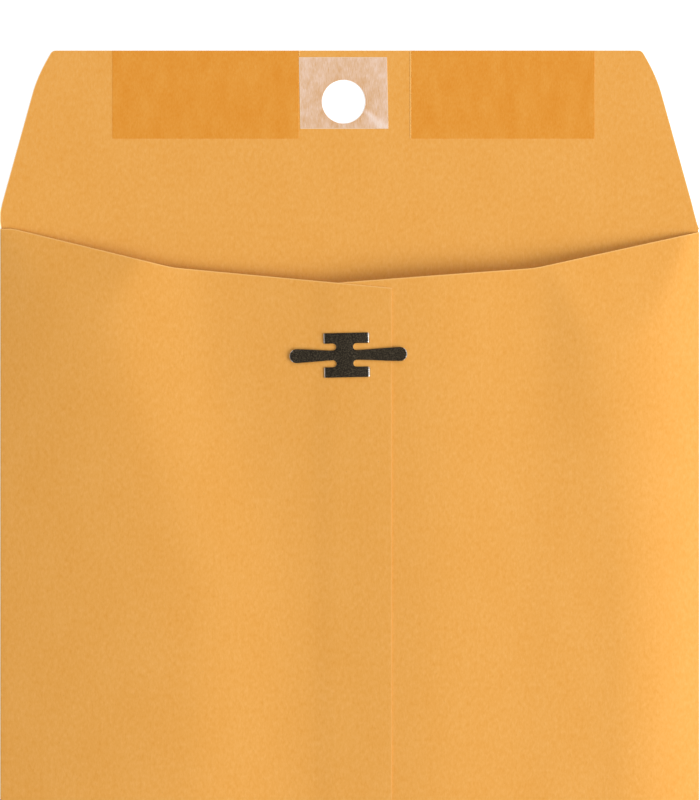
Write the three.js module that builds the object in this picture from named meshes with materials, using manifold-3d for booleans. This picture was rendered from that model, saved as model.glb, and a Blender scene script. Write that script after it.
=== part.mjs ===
// Kraft clasp envelope, lying on its front face with the seal flap open and the mouth a little open.
// Millimetres. +X is across the envelope, +Y runs from the folded bottom to the tip of the seal flap, +Z is up.
// The origin is the middle of the whole outline, on the surface that the envelope lies on.
import * as THREE from "three";
import { mergeVertices } from "three/addons/utils/BufferGeometryUtils.js";
import Module from "manifold-3d";

// Body and flap: a standard 9 by 12 inch envelope.
const BODY_WIDTH = 228.6;
const BODY_LENGTH = 304.8;
const FLAP_LENGTH = 58.2;

// Paper: one die-cut blank, folded at two sides, at the bottom and at the flap's score line.
const PAPER = 0.15;
const FOLD_GAP = 0.2; // inside width of a pressed side fold
const SEAM_GAP = 0.06; // room for adhesive between two glued layers
const GLUE_CLEARANCE = 0.015; // left above and below each film of adhesive
const SCORE_GAP = 0.2; // width of the scored line where the flap bends

// The swell of the back: soft crests and hollows that run down it, each a place across the envelope
// and a height above where the back would lie if pressed flat, near the mouth and low down.
const LEFT_CREST = { nearMouth: [-76.8, 4.1], low: [-50.6, 4.7] };
const LEFT_HOLLOW = { nearMouth: [-45.1, 2.5], low: [-19.5, 3.7] };
const MIDDLE_CREST = { nearMouth: [29.2, 5.4], low: [29.2, 5.6] };
const RIGHT_HOLLOW = { nearMouth: [61.5, 4.5], low: [62.3, 5.0] };
const RIGHT_CREST = { nearMouth: [79.6, 5.3], low: [86.0, 4.8] };
const LEFT_SIDE_BEND = 1.6; // how a side rises from its fold: 1 is straight, and more is steeper at the fold
const RIGHT_SIDE_BEND = 2.0;
const UPPER_Y = 100; // between these two the crests and hollows wander
const LOWER_Y = -5;
const FLAT_MARGIN = 5; // pressed flat beyond the bottom flap
const RISE_RUN = 95; // length over which the flat bottom grows to the full swell
const CLOSED_FLAP_SLOPE = 0.344; // the folded flap stands over the mouth at this slope
const CLOSED_FLAP_CLEARANCE = 0.3;
const MOUTH_EASE = 0.08; // rise per mm, in from the mouth's edge where the folded flap holds it down

// The mouth's edge: two slopes on each side, as depths below the score line.
const MOUTH_ROUNDING = 0.4;
const MOUTH_MARGIN = 10; // ordinary rows of the sheets end this far below the mouth
const LEFT_MOUTH_DROP = 0.3; // at the left side fold
const LEFT_BEND_IN = 56.2; // from the left side fold to where the edge bends
const LEFT_BEND_DEPTH = 12.6;
const LEFT_INNER_SLOPE = 0.091;
const RIGHT_MOUTH_DROP = 0.7;
const RIGHT_BEND_IN = 51.7;
const RIGHT_BEND_DEPTH = 12.43;
const RIGHT_INNER_SLOPE = 0.0722;

// Centre seam: the left back panel lies over the right one.
const SEAM_EDGE_X = 13.8; // free edge of the left back panel
const SEAM_OVERLAP = 17.6;
const STEP_RUN = 9; // length over which a sheet climbs over the edge of another
const STEP_LEAD = 0.6; // the climb is finished this far before that edge
const SEAM_GLUE_WIDTH = 10;
const SEAM_GLUE_INSET = 1.4; // from the free edge

// Bottom flap, folded up over both back panels and glued.
const BOTTOM_FLAP_HEIGHT = 30;
const BOTTOM_FLAP_INSET = 1.5; // from each side fold
const BOTTOM_FLAP_TAPER = 7; // how much narrower it is at its free edge, each side
const BOTTOM_GLUE_MARGIN = 4;

// Seal flap outline, as insets from the body's sides. The blank is cut a little to the left of the body.
const CUT_SHIFT = -1.0;
const HEEL_INSET = 1.34; // where the heel meets the slanted side
const HEEL_RISE = 7.7;
const SHOULDER_INSET = 11.46; // where the shoulder's curve begins
const SHOULDER_DROP = 14; // below the tip edge
const SHOULDER_PULL = 0.55; // where along the shoulder its curve's control point lies
const CORNER_INSET = 17.3; // at the tip's corners
const CORNER_ROUND = 1.6;

// Hole, its reinforcing patch, and the two stripes of seal gum.
const HOLE_RADIUS = 7.14;
const HOLE_X = -1.96;
const HOLE_FROM_TIP = 16.72;
const PATCH_THICKNESS = 0.05;
const PATCH_WIDTH = 28.8;
const PATCH_HEIGHT = 23.4;
const PATCH_RAISE = 2.85; // centre of the patch beyond the centre of the hole
const PATCH_TURN = 0.018; // radians
const GUM_THICKNESS = 0.04;
const GUM_HEIGHT = 28.8;
const LEFT_GUM_LENGTH = 60.9;
const LEFT_GUM_GAP = 0.4; // from the patch
const RIGHT_GUM_LENGTH = 59.9;
const RIGHT_GUM_GAP = 7.7;

// Clasp: one stamping of painted steel, with an H-shaped plate, four legs and two prongs.
const METAL = 0.3;
const CLASP_X = -1.0;
const CLASP_TURN = 0.021; // radians
const CLASP_SEAT_GAP = 0.1;
const PLATE_WIDTH = 14.9;
const PLATE_HEIGHT = 14.5;
const ARM_HEIGHT = 3.4;
const WAIST_WIDTH = 5.56;
const WAIST_SHIFT = -0.56;
const PRONG_ROOT_WIDTH = 3.2;
const PRONG_TIP_WIDTH = 4.55;
const LEFT_PRONG_LENGTH = 14.15; // from its bend line
const RIGHT_PRONG_LENGTH = 16.45;
const BEND_GAP = 0.2; // left open each side of a bend line
const LEG_WIDTH = 2.8;
const LEG_CLINCH = 3.0; // length folded over inside the pocket
const SLIT_CLEARANCE = 0.15;

// Fineness of the facets.
const FOLD_STEPS = 4; // round a fold
const STATION_STEP = 6.35; // across the envelope
const STATION_MERGE = 0.4; // two stations closer than this become one
const BEND_SPREAD = 2; // extra stations each side of a bend in the mouth's edge
const STEP_STATIONS = 4; // along the climb over an edge
const RISE_ROWS = 10; // along the rise of the swell
const SWELL_ROW_STEP = 15; // along the rest of the back
const HOLE_SEGMENTS = 48;
const ROUND_SEGMENTS = 8;

// Levels and places worked out from the sizes above.
const halfWidth = BODY_WIDTH / 2;
const bottomY = -(BODY_LENGTH + FLAP_LENGTH) / 2;
const scoreY = bottomY + BODY_LENGTH;
const tipY = scoreY + FLAP_LENGTH;
const sideFoldRadius = PAPER + FOLD_GAP / 2;
const foldX = halfWidth - sideFoldRadius;
const backLevel = PAPER + FOLD_GAP;
const layerStep = PAPER + SEAM_GAP;
const hiddenEdgeX = SEAM_EDGE_X - SEAM_OVERLAP;
const bottomFoldY = bottomY + (backLevel + PAPER + 2 * layerStep) / 2;
const bottomFlapTop = bottomY + BOTTOM_FLAP_HEIGHT;
const riseStartY = bottomFlapTop + FLAT_MARGIN;
const holeY = tipY - HOLE_FROM_TIP;

const kraft = new THREE.MeshStandardMaterial({ color: 0xecaa52, roughness: 0.85, metalness: 0 });
const gum = new THREE.MeshStandardMaterial({ color: 0xe5993a, roughness: 0.45, metalness: 0 });
const tissue = new THREE.MeshStandardMaterial({ color: 0xe5bd9c, roughness: 0.55, metalness: 0 });
const paste = new THREE.MeshStandardMaterial({ color: 0xf0e6c8, roughness: 0.6, metalness: 0 });
const steel = new THREE.MeshStandardMaterial({ color: 0x3e3528, roughness: 0.45, metalness: 0.3 });

const wasm = await Module();
wasm.setup();

// A closed geometry as a solid that can be joined and cut.
function solidOf(geometry) {
  const bare = geometry.clone();
  bare.deleteAttribute("normal");
  bare.deleteAttribute("uv");
  const merged = mergeVertices(bare, 1e-4);
  const mesh = new wasm.Mesh({
    numProp: 3,
    vertProperties: merged.getAttribute("position").array,
    triVerts: new Uint32Array(merged.index.array),
  });
  return new wasm.Manifold(mesh);
}

function geometryOf(solid) {
  const mesh = solid.getMesh();
  const geometry = new THREE.BufferGeometry();
  geometry.setAttribute("position", new THREE.BufferAttribute(new Float32Array(mesh.vertProperties), 3));
  geometry.setIndex(new THREE.BufferAttribute(new Uint32Array(mesh.triVerts), 1));
  geometry.computeVertexNormals();
  return geometry;
}

// A thin closed sheet between two grids of points, each a list of columns from left to right.
function sheetBetween(under, over) {
  const columns = under.length;
  const rows = under[0].length;
  const lower = (i, j) => i * rows + j;
  const upper = (i, j) => (columns + i) * rows + j;
  const index = [];
  const quad = (a, b, c, d) => index.push(a, b, c, a, c, d);
  for (let i = 0; i + 1 < columns; i++) {
    for (let j = 0; j + 1 < rows; j++) {
      quad(upper(i, j), upper(i + 1, j), upper(i + 1, j + 1), upper(i, j + 1));
      quad(lower(i, j), lower(i, j + 1), lower(i + 1, j + 1), lower(i + 1, j));
    }
    quad(lower(i, 0), lower(i + 1, 0), upper(i + 1, 0), upper(i, 0));
    quad(upper(i, rows - 1), upper(i + 1, rows - 1), lower(i + 1, rows - 1), lower(i, rows - 1));
  }
  for (let j = 0; j + 1 < rows; j++) {
    quad(lower(0, j), upper(0, j), upper(0, j + 1), lower(0, j + 1));
    quad(lower(columns - 1, j), lower(columns - 1, j + 1), upper(columns - 1, j + 1), upper(columns - 1, j));
  }
  const geometry = new THREE.BufferGeometry().setFromPoints([...under.flat(), ...over.flat()]);
  geometry.setIndex(index);
  geometry.computeVertexNormals();
  return geometry;
}

// The smaller of two values, with the corner between them rounded off.
function roundedMin(a, b, rounding) {
  const near = Math.max(rounding - Math.abs(a - b), 0);
  return Math.min(a, b) - near ** 2 / (4 * rounding);
}

// From 0 to 1 as t goes from 0 to 1, level at both ends.
function smooth(t) {
  const s = Math.min(Math.max(t, 0), 1);
  return s * s * (3 - 2 * s);
}

const mix = (a, b, t) => a + (b - a) * t;

const CREASES = [LEFT_CREST, LEFT_HOLLOW, MIDDLE_CREST, RIGHT_HOLLOW, RIGHT_CREST];

// The back's height at full rise: up from each side fold to the outer crests, and in waves between them.
function swell(x, y) {
  const low = smooth((UPPER_Y - y) / (UPPER_Y - LOWER_Y));
  const knots = CREASES.map((crease) => crease.nearMouth.map((value, i) => mix(value, crease.low[i], low)));
  const [leftX, leftHeight] = knots[0];
  const [rightX, rightHeight] = knots.at(-1);
  if (x <= leftX) {
    const toGo = Math.min((leftX - x) / (leftX + foldX), 1);
    return leftHeight * (1 - toGo ** LEFT_SIDE_BEND);
  }
  if (x >= rightX) {
    const toGo = Math.min((x - rightX) / (foldX - rightX), 1);
    return rightHeight * (1 - toGo ** RIGHT_SIDE_BEND);
  }
  const next = knots.findIndex((knot) => x < knot[0]);
  const [[x0, z0], [x1, z1]] = knots.slice(next - 1, next + 1);
  return mix(z0, z1, smooth((x - x0) / (x1 - x0)));
}

// How high the back may stand, so that the flap folds over the mouth without cutting into it.
function underClosedFlap(x, y) {
  const mouth = x < 0 ? leftMouthY(x) : rightMouthY(x);
  const atEdge = CLOSED_FLAP_CLEARANCE + CLOSED_FLAP_SLOPE * (scoreY - mouth);
  return atEdge + MOUTH_EASE * (mouth - y);
}

// How far the back stands above where it would lie if pressed flat.
function crown(x, y) {
  const limited = roundedMin(swell(x, y), underClosedFlap(x, y), MOUTH_ROUNDING);
  return smooth((y - riseStartY) / RISE_RUN) * Math.max(limited, 0);
}

// How far a sheet is lifted by what it lies over: the right panel's hidden edge, and the left panel's free one.
const liftOverRight = (x) => layerStep * smooth((x - hiddenEdgeX + STEP_RUN + STEP_LEAD) / STEP_RUN);
const liftOverLeft = (x) => layerStep * smooth((SEAM_EDGE_X + STEP_RUN + STEP_LEAD - x) / STEP_RUN);
const liftOverBoth = (x) => Math.min(liftOverRight(x), liftOverLeft(x));

function leftMouthY(x) {
  const outerSlope = (LEFT_BEND_DEPTH - LEFT_MOUTH_DROP) / LEFT_BEND_IN;
  const outer = LEFT_MOUTH_DROP + outerSlope * (x + halfWidth);
  const inner = LEFT_BEND_DEPTH + LEFT_INNER_SLOPE * (x + halfWidth - LEFT_BEND_IN);
  return scoreY - roundedMin(outer, inner, MOUTH_ROUNDING);
}

function rightMouthY(x) {
  const outerSlope = (RIGHT_BEND_DEPTH - RIGHT_MOUTH_DROP) / RIGHT_BEND_IN;
  const outer = RIGHT_MOUTH_DROP + outerSlope * (halfWidth - x);
  const inner = RIGHT_BEND_DEPTH + RIGHT_INNER_SLOPE * (halfWidth - x - RIGHT_BEND_IN);
  return scoreY - roundedMin(outer, inner, MOUTH_ROUNDING);
}

const mouthBaseY = Math.min(leftMouthY(SEAM_EDGE_X), rightMouthY(hiddenEdgeX)) - MOUTH_MARGIN;

// Places across the envelope where the sheets have a column of points, between two limits.
function stationsBetween(low, high) {
  const marks = [];
  const strips = Math.round(BODY_WIDTH / STATION_STEP);
  for (let i = 0; i <= strips; i++) marks.push(-halfWidth + (i * BODY_WIDTH) / strips);
  for (const bend of [LEFT_BEND_IN - halfWidth, halfWidth - RIGHT_BEND_IN]) {
    marks.push(bend - BEND_SPREAD, bend, bend + BEND_SPREAD);
  }
  for (let i = 0; i <= STEP_STATIONS; i++) {
    const along = (i * STEP_RUN) / STEP_STATIONS;
    marks.push(hiddenEdgeX - STEP_LEAD - along, SEAM_EDGE_X + STEP_LEAD + along);
  }
  const stations = [low];
  for (const x of marks.sort((a, b) => a - b)) {
    const clear = x - stations.at(-1) > STATION_MERGE && high - x > STATION_MERGE;
    if (clear) stations.push(x);
  }
  return [...stations, high];
}

// Rows along the envelope for a sheet that follows the crown, from low up to the foot of the mouth.
function crownRows(low) {
  const rows = [low];
  for (let i = 0; i < RISE_ROWS; i++) rows.push(riseStartY + (i * RISE_RUN) / RISE_ROWS);
  const riseTop = riseStartY + RISE_RUN;
  const swellRows = Math.max(1, Math.round((mouthBaseY - riseTop) / SWELL_ROW_STEP));
  for (let i = 0; i <= swellRows; i++) rows.push(mix(riseTop, mouthBaseY, i / swellRows));
  return rows;
}

// Points round a fold of the given radius, as pairs of how far it bulges out and its height.
function foldArc(radius, centreHeight) {
  const arc = [];
  for (let i = 0; i <= FOLD_STEPS; i++) {
    const turn = (i * Math.PI) / FOLD_STEPS;
    arc.push([radius * Math.sin(turn), centreHeight - radius * Math.cos(turn)]);
  }
  return arc;
}

// A side panel: its fold round the front panel's edge, then the crowned sheet in to its free edge.
// side is -1 for the left panel and 1 for the right one.
function backPanel(side, freeEdgeX, lift, mouthY) {
  const rows = crownRows(bottomFoldY + SEAM_GAP);
  const foldTop = mouthY(side * halfWidth);
  const foldColumns = (radius) =>
    foldArc(radius, sideFoldRadius).map(([bulge, z]) =>
      [...rows, foldTop].map((y) => new THREE.Vector3(side * (foldX + bulge), y, z)),
    );
  const across = stationsBetween(Math.min(side * foldX, freeEdgeX), Math.max(side * foldX, freeEdgeX));
  const inwards = side < 0 ? across.slice(1) : across.slice(0, -1).reverse();
  const sheetColumns = (thickness) =>
    inwards.map((x) =>
      [...rows, mouthY(x)].map((y) => new THREE.Vector3(x, y, backLevel + crown(x, y) + lift(x) + thickness)),
    );
  const under = [...foldColumns(sideFoldRadius - PAPER), ...sheetColumns(0)];
  const over = [...foldColumns(sideFoldRadius), ...sheetColumns(PAPER)];
  return side < 0 ? sheetBetween(under, over) : sheetBetween(under.reverse(), over.reverse());
}

// The front panel, between the folds and the score line.
function frontPanel() {
  const top = scoreY - SCORE_GAP / 2;
  const geometry = new THREE.BoxGeometry(2 * foldX, top - bottomFoldY, PAPER);
  return geometry.translate(0, (top + bottomFoldY) / 2, PAPER / 2);
}

// A film of adhesive that follows a sheet's upper face, given by level(x, y).
function glueFilm(across, rows, level) {
  const grid = (height) =>
    across.map((x) => rows.map((y) => new THREE.Vector3(x, y, level(x, y) + height)));
  return sheetBetween(grid(GLUE_CLEARANCE), grid(SEAM_GAP - GLUE_CLEARANCE));
}

// Adhesive between the two back panels, along the left panel's free edge.
function seamGlue() {
  const right = SEAM_EDGE_X - SEAM_GLUE_INSET;
  const across = stationsBetween(right - SEAM_GLUE_WIDTH, right);
  const rows = crownRows(bottomFoldY + BOTTOM_GLUE_MARGIN);
  return glueFilm(across, rows, (x, y) => backLevel + crown(x, y) + PAPER);
}

// The bottom flap's half width at its fold and at its free edge, and the face that it lies on.
const bottomFoldHalf = foldX - BOTTOM_FLAP_INSET;
const bottomEdgeHalf = bottomFoldHalf - BOTTOM_FLAP_TAPER;
const glued = (x) => backLevel + PAPER + liftOverBoth(x);

// The bottom flap: a fold round the back panels' ends, then a tapered sheet over both of them.
function bottomFlap() {
  const inner = stationsBetween(-bottomEdgeHalf, bottomEdgeHalf).slice(1, -1);
  const column = (foldX, edgeX, thickness) => {
    const top = glued(edgeX) + SEAM_GAP;
    const centreHeight = (glued(foldX) + SEAM_GAP + PAPER) / 2;
    const arc = foldArc(centreHeight - PAPER + thickness, centreHeight);
    const fold = arc.map(([bulge, z]) => new THREE.Vector3(foldX, bottomFoldY - bulge, z));
    return [...fold, new THREE.Vector3(edgeX, bottomFlapTop, top + thickness)];
  };
  const grid = (thickness) => [
    column(-bottomFoldHalf, -bottomEdgeHalf, thickness),
    ...inner.map((x) => column(x, x, thickness)),
    column(bottomFoldHalf, bottomEdgeHalf, thickness),
  ];
  return sheetBetween(grid(0), grid(PAPER));
}

// Adhesive under the bottom flap.
function bottomGlue() {
  const limit = bottomEdgeHalf - BOTTOM_GLUE_MARGIN;
  const rows = [bottomFoldY + BOTTOM_GLUE_MARGIN, bottomFlapTop - BOTTOM_GLUE_MARGIN];
  return glueFilm(stationsBetween(-limit, limit), rows, glued);
}

function plateOf(shape, thickness, level) {
  const geometry = new THREE.ExtrudeGeometry(shape, { depth: thickness, bevelEnabled: false });
  return geometry.translate(0, 0, level);
}

function clearHole() {
  const ring = [];
  for (let i = 0; i < HOLE_SEGMENTS; i++) {
    const angle = (-2 * Math.PI * i) / HOLE_SEGMENTS;
    ring.push(new THREE.Vector2(HOLE_X + HOLE_RADIUS * Math.cos(angle), holeY + HOLE_RADIUS * Math.sin(angle)));
  }
  return new THREE.Path(ring);
}

// One slanted side of the seal flap, from its heel to the tip edge. side is -1 for the left and 1 for the right.
function flapSide(side) {
  const heelHalf = halfWidth - HEEL_INSET;
  const heelY = scoreY + HEEL_RISE;
  const shoulderHalf = halfWidth - SHOULDER_INSET;
  const shoulderY = tipY - SHOULDER_DROP;
  const slope = (heelHalf - shoulderHalf) / (shoulderY - heelY);
  const pull = SHOULDER_PULL * SHOULDER_DROP;
  const cornerHalf = halfWidth - CORNER_INSET;
  const path = new THREE.Path();
  path.moveTo(heelHalf, heelY);
  path.lineTo(shoulderHalf, shoulderY);
  path.quadraticCurveTo(
    shoulderHalf - slope * pull,
    shoulderY + pull,
    cornerHalf + CORNER_ROUND / 2,
    tipY - CORNER_ROUND,
  );
  path.quadraticCurveTo(cornerHalf, tipY, cornerHalf - CORNER_ROUND, tipY);
  return path.getPoints(ROUND_SEGMENTS).map((p) => new THREE.Vector2(CUT_SHIFT + side * p.x, p.y));
}

// The seal flap, flat, with the hole for the clasp.
function sealFlap() {
  const rootY = scoreY + SCORE_GAP / 2;
  const root = [new THREE.Vector2(-halfWidth, rootY), new THREE.Vector2(halfWidth, rootY)];
  const shape = new THREE.Shape([...root, ...flapSide(1), ...flapSide(-1).reverse()]);
  shape.holes.push(clearHole());
  return plateOf(shape, PAPER, 0);
}

// The patch that reinforces the hole, stuck on the flap's inner face.
function holePatch() {
  const across = PATCH_WIDTH / 2;
  const up = PATCH_HEIGHT / 2;
  const corners = [[-across, -up], [across, -up], [across, up], [-across, up]].map(([x, y]) =>
    new THREE.Vector2(x, y).rotateAround(new THREE.Vector2(), PATCH_TURN),
  );
  const centre = new THREE.Vector2(HOLE_X, holeY + PATCH_RAISE);
  const shape = new THREE.Shape(corners.map((corner) => corner.add(centre)));
  shape.holes.push(clearHole());
  return plateOf(shape, PATCH_THICKNESS, PAPER);
}

// A stripe of gum along the tip edge, from the end nearer the patch outwards.
function gumStripe(side, gap, length) {
  const near = HOLE_X + side * (PATCH_WIDTH / 2 + gap);
  const geometry = new THREE.BoxGeometry(length, GUM_HEIGHT, GUM_THICKNESS);
  return geometry.translate(near + (side * length) / 2, tipY - GUM_HEIGHT / 2, PAPER + GUM_THICKNESS / 2);
}

// Clasp levels and places. When the flap is folded over, its hole lies on the clasp.
// The clasp is drawn level, with the underside of the right panel at its middle as its zero,
// and is then tilted with the paper that it lies on.
const claspY = 2 * scoreY - holeY;
const pocketCeiling = backLevel + crown(CLASP_X, claspY);
const plateLevel = layerStep + PAPER + CLASP_SEAT_GAP;
const paperRise = crown(CLASP_X + PLATE_WIDTH / 2, claspY) - crown(CLASP_X - PLATE_WIDTH / 2, claspY);
const clasp = new THREE.Group();
clasp.position.set(CLASP_X, claspY, pocketCeiling);
clasp.rotation.set(0, -Math.atan(paperRise / PLATE_WIDTH), CLASP_TURN, "ZYX");
clasp.updateMatrix();
const armInner = PLATE_HEIGHT / 2 - ARM_HEIGHT;
const armMiddle = PLATE_HEIGHT / 2 - ARM_HEIGHT / 2;
const notchRadius = (armInner - PRONG_ROOT_WIDTH / 2) / 2;
const notchY = armInner - notchRadius;

// How far a prong's bend line lies from the clasp's middle. side is -1 for the left and 1 for the right.
const bendOut = (side) => side * WAIST_SHIFT + WAIST_WIDTH / 2 + notchRadius;

// Turns points drawn for the clasp's right side into those of its left side.
const forSide = (side, points) => (side > 0 ? points : points.map((p) => p.negate()));

// One side of the plate's outline, anticlockwise: an arm's end, a notch, the prong's neck, a notch, an arm's end.
function plateSide(side) {
  const bend = bendOut(side);
  const cutBack = Math.asin(BEND_GAP / notchRadius);
  const arm = PLATE_WIDTH / 2;
  const path = new THREE.Path();
  path.moveTo(arm, -PLATE_HEIGHT / 2);
  path.lineTo(arm, -armInner);
  path.absarc(bend, -notchY, notchRadius, -Math.PI / 2, Math.PI / 2 + cutBack, true);
  path.absarc(bend, notchY, notchRadius, -Math.PI / 2 - cutBack, Math.PI / 2, true);
  path.lineTo(arm, armInner);
  path.lineTo(arm, PLATE_HEIGHT / 2);
  return forSide(side, path.getPoints(ROUND_SEGMENTS));
}

// A leg drawn for the right side: down through both back panels at the arm's end, then folded in under them.
function leg(side, up) {
  const top = plateLevel + METAL;
  const bend = PLATE_WIDTH / 2;
  const under = -CLASP_SEAT_GAP;
  const profile = new THREE.Shape();
  profile.moveTo(bend, top);
  profile.lineTo(bend - METAL, top);
  profile.lineTo(bend - METAL, under);
  profile.lineTo(bend - LEG_CLINCH, under);
  profile.lineTo(bend - LEG_CLINCH, under - METAL);
  profile.lineTo(bend, under - METAL);
  const geometry = new THREE.ExtrudeGeometry(profile, { depth: LEG_WIDTH, bevelEnabled: false });
  geometry.rotateX(Math.PI / 2).translate(0, LEG_WIDTH / 2, 0);
  if (side < 0) geometry.rotateZ(Math.PI);
  return geometry.translate(0, up * armMiddle, 0);
}

const legPlaces = [[-1, 1], [1, 1], [-1, -1], [1, -1]];

// The H-shaped plate with its four clinched legs.
function claspPlate() {
  const outline = new THREE.Shape([...plateSide(1), ...plateSide(-1)]);
  let solid = solidOf(plateOf(outline, METAL, plateLevel));
  for (const [side, up] of legPlaces) solid = solid.add(solidOf(leg(side, up)));
  return geometryOf(solid);
}

// A prong, widening from its bend line to a round tip.
function prong(side, length) {
  const bend = bendOut(side);
  const root = bend + BEND_GAP;
  const tipRadius = PRONG_TIP_WIDTH / 2;
  const path = new THREE.Path();
  path.moveTo(root, -PRONG_ROOT_WIDTH / 2);
  path.absarc(bend + length - tipRadius, 0, tipRadius, -Math.PI / 2, Math.PI / 2, false);
  path.lineTo(root, PRONG_ROOT_WIDTH / 2);
  return plateOf(new THREE.Shape(forSide(side, path.getPoints(ROUND_SEGMENTS))), METAL, plateLevel);
}

// The slits that the legs go through, cut from a sheet of the back.
function pierced(geometry) {
  const stack = layerStep + PAPER;
  let solid = solidOf(geometry);
  for (const [side, up] of legPlaces) {
    const slit = new THREE.BoxGeometry(METAL + 2 * SLIT_CLEARANCE, LEG_WIDTH + 2 * SLIT_CLEARANCE, 2 * stack);
    slit.translate(side * (PLATE_WIDTH / 2 - METAL / 2), up * armMiddle, stack / 2);
    solid = solid.subtract(solidOf(slit.applyMatrix4(clasp.matrix)));
  }
  return geometryOf(solid);
}

function piece(name, geometry, material) {
  const mesh = new THREE.Mesh(geometry, material);
  mesh.name = name;
  return mesh;
}

const envelope = new THREE.Group();
envelope.add(
  piece("front_panel", frontPanel(), kraft),
  piece("left_back_panel", pierced(backPanel(-1, SEAM_EDGE_X, liftOverRight, leftMouthY)), kraft),
  piece("right_back_panel", pierced(backPanel(1, hiddenEdgeX, () => 0, rightMouthY)), kraft),
  piece("seam_glue", pierced(seamGlue()), paste),
  piece("bottom_flap", bottomFlap(), kraft),
  piece("bottom_flap_glue", bottomGlue(), paste),
  piece("seal_flap", sealFlap(), kraft),
  piece("hole_patch", holePatch(), tissue),
  piece("seal_gum_left", gumStripe(-1, LEFT_GUM_GAP, LEFT_GUM_LENGTH), gum),
  piece("seal_gum_right", gumStripe(1, RIGHT_GUM_GAP, RIGHT_GUM_LENGTH), gum),
);

clasp.add(
  piece("clasp_plate", claspPlate(), steel),
  piece("clasp_prong_left", prong(-1, LEFT_PRONG_LENGTH), steel),
  piece("clasp_prong_right", prong(1, RIGHT_PRONG_LENGTH), steel),
);
envelope.add(clasp);

export default envelope;
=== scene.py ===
# Kraft clasp envelope, lying on its front face with the seal flap open and the mouth a little open.
import math

import bpy
from mathutils import Matrix, Vector


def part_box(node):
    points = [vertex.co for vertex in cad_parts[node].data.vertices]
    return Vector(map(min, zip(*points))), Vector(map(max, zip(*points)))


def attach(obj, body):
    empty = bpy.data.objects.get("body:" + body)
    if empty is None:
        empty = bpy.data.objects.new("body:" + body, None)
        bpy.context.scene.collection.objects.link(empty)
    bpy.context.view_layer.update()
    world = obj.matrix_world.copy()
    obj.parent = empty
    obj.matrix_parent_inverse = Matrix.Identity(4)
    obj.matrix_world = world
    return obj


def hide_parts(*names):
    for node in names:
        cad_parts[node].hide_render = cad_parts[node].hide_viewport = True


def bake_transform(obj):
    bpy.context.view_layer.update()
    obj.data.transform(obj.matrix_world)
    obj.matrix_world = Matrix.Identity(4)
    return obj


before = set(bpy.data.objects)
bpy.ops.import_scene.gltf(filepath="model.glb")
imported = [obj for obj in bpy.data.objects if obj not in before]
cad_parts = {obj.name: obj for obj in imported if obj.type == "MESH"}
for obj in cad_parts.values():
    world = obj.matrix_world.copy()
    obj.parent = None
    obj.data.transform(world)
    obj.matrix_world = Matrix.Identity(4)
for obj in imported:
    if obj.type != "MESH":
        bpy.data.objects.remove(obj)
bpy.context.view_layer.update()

# Lengths are in millimetres here, and become metres where a mesh is made.
MM = 0.001


def box_of(node):
    """A CAD node's lowest and highest corners, in millimetres."""
    low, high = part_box(node)
    return low / MM, high / MM


# The photograph's frame, and how far the camera stands from the paper.
PHOTO_WIDTH = 700
PHOTO_HEIGHT = 800
MM_PER_PIXEL = 0.3272
SCORE_PIXEL_Y = 228.5
MIDDLE_PIXEL_X = 349.7
CAMERA_HEIGHT = 1500.0
SENSOR_WIDTH = 36.0

# Paper and the gaps between its layers.
PAPER = 0.15
SEAM_GAP = 0.06
GLUE_CLEARANCE = 0.015
HIGHLIGHT_BAND = 0.5  # width of the paler band painted along a cut edge, a painted highlight that stands in for the lit cut edge
FREE_EDGE_HIGHLIGHT = 0.45  # how strong the painted highlight is along a back panel's free edge, next to 1 at the mouth
SMOOTH_ANGLE = 40  # degrees, up to which two faces are shaded as one surface

# The swell of the back: soft crests and hollows that run down it, each a place across the envelope
# and a height above where the back would lie if pressed flat, near the mouth and low down.
LEFT_CREST_NEAR_MOUTH = (-76.8, 4.1)
LEFT_CREST_LOW = (-50.6, 4.7)
LEFT_HOLLOW_NEAR_MOUTH = (-45.1, 2.5)
LEFT_HOLLOW_LOW = (-19.5, 3.7)
MIDDLE_CREST_NEAR_MOUTH = (29.2, 5.4)
MIDDLE_CREST_LOW = (29.2, 5.6)
RIGHT_HOLLOW_NEAR_MOUTH = (61.5, 4.5)
RIGHT_HOLLOW_LOW = (62.3, 5.0)
RIGHT_CREST_NEAR_MOUTH = (79.6, 5.3)
RIGHT_CREST_LOW = (86.0, 4.8)
LEFT_SIDE_BEND = 1.6  # how a side rises from its fold: 1 is straight, and more is steeper at the fold
RIGHT_SIDE_BEND = 2.0
UPPER_Y = 100.0  # between these two the crests and hollows wander
LOWER_Y = -5.0
FLAT_MARGIN = 5.0
RISE_RUN = 95.0
CLOSED_FLAP_SLOPE = 0.344  # the folded flap stands over the mouth at this slope
CLOSED_FLAP_CLEARANCE = 0.3
MOUTH_EASE = 0.08  # rise per mm, in from the mouth's edge where the folded flap holds it down

# The mouth's edge: two slopes on each side, as depths below the score line. The outer slope on the left
# would start above that line, so it is held to a least depth.
MOUTH_ROUNDING = 0.4
MOUTH_MARGIN = 10.0
LEFT_MOUTH_DROP = -0.9
LEFT_LEAST_DEPTH = 0.1  # at the left fold, where the flap has to bend past it
LEFT_BEND_IN = 56.2
LEFT_BEND_DEPTH = 12.83
LEFT_INNER_SLOPE = 0.0934
RIGHT_MOUTH_DROP = 1.2
RIGHT_BEND_IN = 53.7
RIGHT_BEND_DEPTH = 13.06
RIGHT_INNER_SLOPE = 0.0744

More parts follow.
